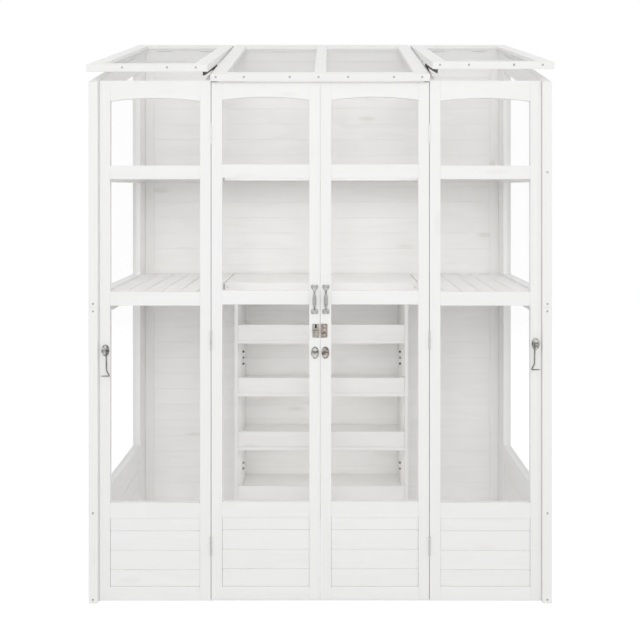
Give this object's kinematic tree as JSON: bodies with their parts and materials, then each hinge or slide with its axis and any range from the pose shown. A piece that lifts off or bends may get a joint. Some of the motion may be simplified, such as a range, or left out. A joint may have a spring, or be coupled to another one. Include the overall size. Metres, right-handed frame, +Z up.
{
  "type": "mini greenhouse",
  "caption": "Wooden mini greenhouse with clear panes, opening doors, hinged roof lids on stays, fold-up shelves and a rack.",
  "frame": {"origin": "on the ground, at the middle of the overall box", "axes": "+Z up, -Y towards the front with the doors, +X to the right seen from the front"},
  "size_m": [1.638, 0.7614, 2.1012],
  "materials": {
    "white_frame": "white satin paint over softwood",
    "white_board": "thin white stain over softwood, faint knots and grain",
    "clear_pane": "clear acrylic sheet",
    "nickel": "cast and nickel plated, antique",
    "aged_zinc": "zinc plated with a brown tint",
    "dark_steel": "dark zinc plated steel"
  },
  "bodies": {
    "root": {"left_side_lower_frame": "white_frame", "left_side_upper_frame": "white_frame", "left_side_lower_pane": "clear_pane", "left_side_upper_pane": "clear_pane", "left_front_frame": "white_frame", "left_front_pane": "clear_pane", "left_rafter": "white_frame", "left_mid_shelf": "white_board", "left_top_shelf": "white_board", "rack_left_upright": "white_board", "left_hook_plate": "nickel", "left_hinge_1": "nickel", "left_hinge_2": "nickel", "left_hinge_3": "nickel", "right_side_lower_frame": "white_frame", "right_side_upper_frame": "white_frame", "right_side_lower_pane": "clear_pane", "right_side_upper_pane": "clear_pane", "right_front_frame": "white_frame", "right_front_pane": "clear_pane", "right_rafter": "white_frame", "right_mid_shelf": "white_board", "right_top_shelf": "white_board", "rack_right_upright": "white_board", "right_hook_plate": "nickel", "right_hinge_1": "nickel", "right_hinge_2": "nickel", "right_hinge_3": "nickel", "back_frame": "white_frame", "back_boards": "white_board", "rack_shelf_1": "white_board", "rack_shelf_2": "white_board", "rack_shelf_3": "white_board", "rack_shelf_4": "white_board", "roof_middle_frame": "white_frame", "roof_middle_pane": "clear_pane"},
    "left_door": {"left_door_frame": "white_frame", "left_door_pane": "clear_pane", "left_pull": "nickel", "left_eye_plate": "nickel", "latch_plate": "aged_zinc"},
    "right_door": {"right_door_frame": "white_frame", "right_door_pane": "clear_pane", "right_pull": "nickel", "right_eye_plate": "nickel", "latch_keeper": "aged_zinc"},
    "latch_bolt": {"latch_bolt": "aged_zinc"},
    "left_hook": {"left_hook": "nickel"},
    "right_hook": {"right_hook": "nickel"},
    "left_lid": {"left_lid_frame": "white_frame", "left_lid_pane": "clear_pane"},
    "right_lid": {"right_lid_frame": "white_frame", "right_lid_pane": "clear_pane"},
    "left_stay_lower": {"left_stay_lower_arm": "dark_steel"},
    "left_stay_upper": {"left_stay_upper_arm": "dark_steel"},
    "right_stay_lower": {"right_stay_lower_arm": "dark_steel"},
    "right_stay_upper": {"right_stay_upper_arm": "dark_steel"},
    "mid_fold_shelf": {"mid_fold_shelf": "white_board"},
    "upper_fold_shelf": {"upper_fold_shelf": "white_board"}
  },
  "joints": [
    {"name": "left_door_hinge", "type": "hinge", "parent": "root", "child": "left_door", "pos_m": [-0.3865, -0.34725, 0.923], "axis": [0, 0, -1], "range_deg": [0, 160]},
    {"name": "right_door_hinge", "type": "hinge", "parent": "root", "child": "right_door", "pos_m": [0.3865, -0.34725, 0.923], "axis": [0, 0, 1], "range_deg": [0, 160]},
    {"name": "latch_bolt_slide", "type": "slide", "parent": "left_door", "child": "latch_bolt", "axis": [1, 0, 0], "range_m": [0, 0.0115]},
    {"name": "left_hook_swing", "type": "hinge", "parent": "root", "child": "left_hook", "pos_m": [-0.754, -0.35675, 0.887], "axis": [-1, 0, 0], "range_deg": [0, 100]},
    {"name": "right_hook_swing", "type": "hinge", "parent": "root", "child": "right_hook", "pos_m": [0.756, -0.35675, 0.91], "axis": [-1, 0, 0], "range_deg": [0, 100]},
    {"name": "left_lid_hinge", "type": "hinge", "parent": "root", "child": "left_lid", "pos_m": [-0.60625, 0.36405, 2.06937], "axis": [-1, 0, 0], "range_deg": [-2.5, 19]},
    {"name": "right_lid_hinge", "type": "hinge", "parent": "root", "child": "right_lid", "pos_m": [0.60625, 0.36405, 2.06937], "axis": [-1, 0, 0], "range_deg": [-3.2, 19]},
    {"name": "left_stay_foot", "type": "hinge", "parent": "root", "child": "left_stay_lower", "pos_m": [-0.411, -0.25105, 1.859], "axis": [1, 0, 0], "range_deg": [-2.3, 16.8]},
    {"name": "left_stay_elbow", "type": "hinge", "parent": "left_stay_lower", "child": "left_stay_upper", "pos_m": [-0.413, -0.02698, 1.94498], "axis": [-1, 0, 0], "range_deg": [-6.6, 49.6]},
    {"name": "right_stay_foot", "type": "hinge", "parent": "root", "child": "right_stay_lower", "pos_m": [0.411, -0.25105, 1.859], "axis": [1, 0, 0], "range_deg": [-2.9, 16.6]},
    {"name": "right_stay_elbow", "type": "hinge", "parent": "right_stay_lower", "child": "right_stay_upper", "pos_m": [0.413, -0.02786, 1.94725], "axis": [-1, 0, 0], "range_deg": [-8.5, 49.7]},
    {"name": "mid_shelf_fold", "type": "hinge", "parent": "root", "child": "mid_fold_shelf", "pos_m": [0, 0.33595, 1.083], "axis": [-1, 0, 0], "range_deg": [0, 88]},
    {"name": "upper_shelf_fold", "type": "hinge", "parent": "root", "child": "upper_fold_shelf", "pos_m": [0, 0.33595, 1.5265], "axis": [-1, 0, 0], "range_deg": [0, 88]}
  ],
  "couplings": [
    {"joint": "left_stay_foot", "follows": "left_lid_hinge", "ratio": 0.874},
    {"joint": "left_stay_elbow", "follows": "left_lid_hinge", "ratio": 2.601},
    {"joint": "right_stay_foot", "follows": "right_lid_hinge", "ratio": 0.868},
    {"joint": "right_stay_elbow", "follows": "right_lid_hinge", "ratio": 2.607}
  ]
}
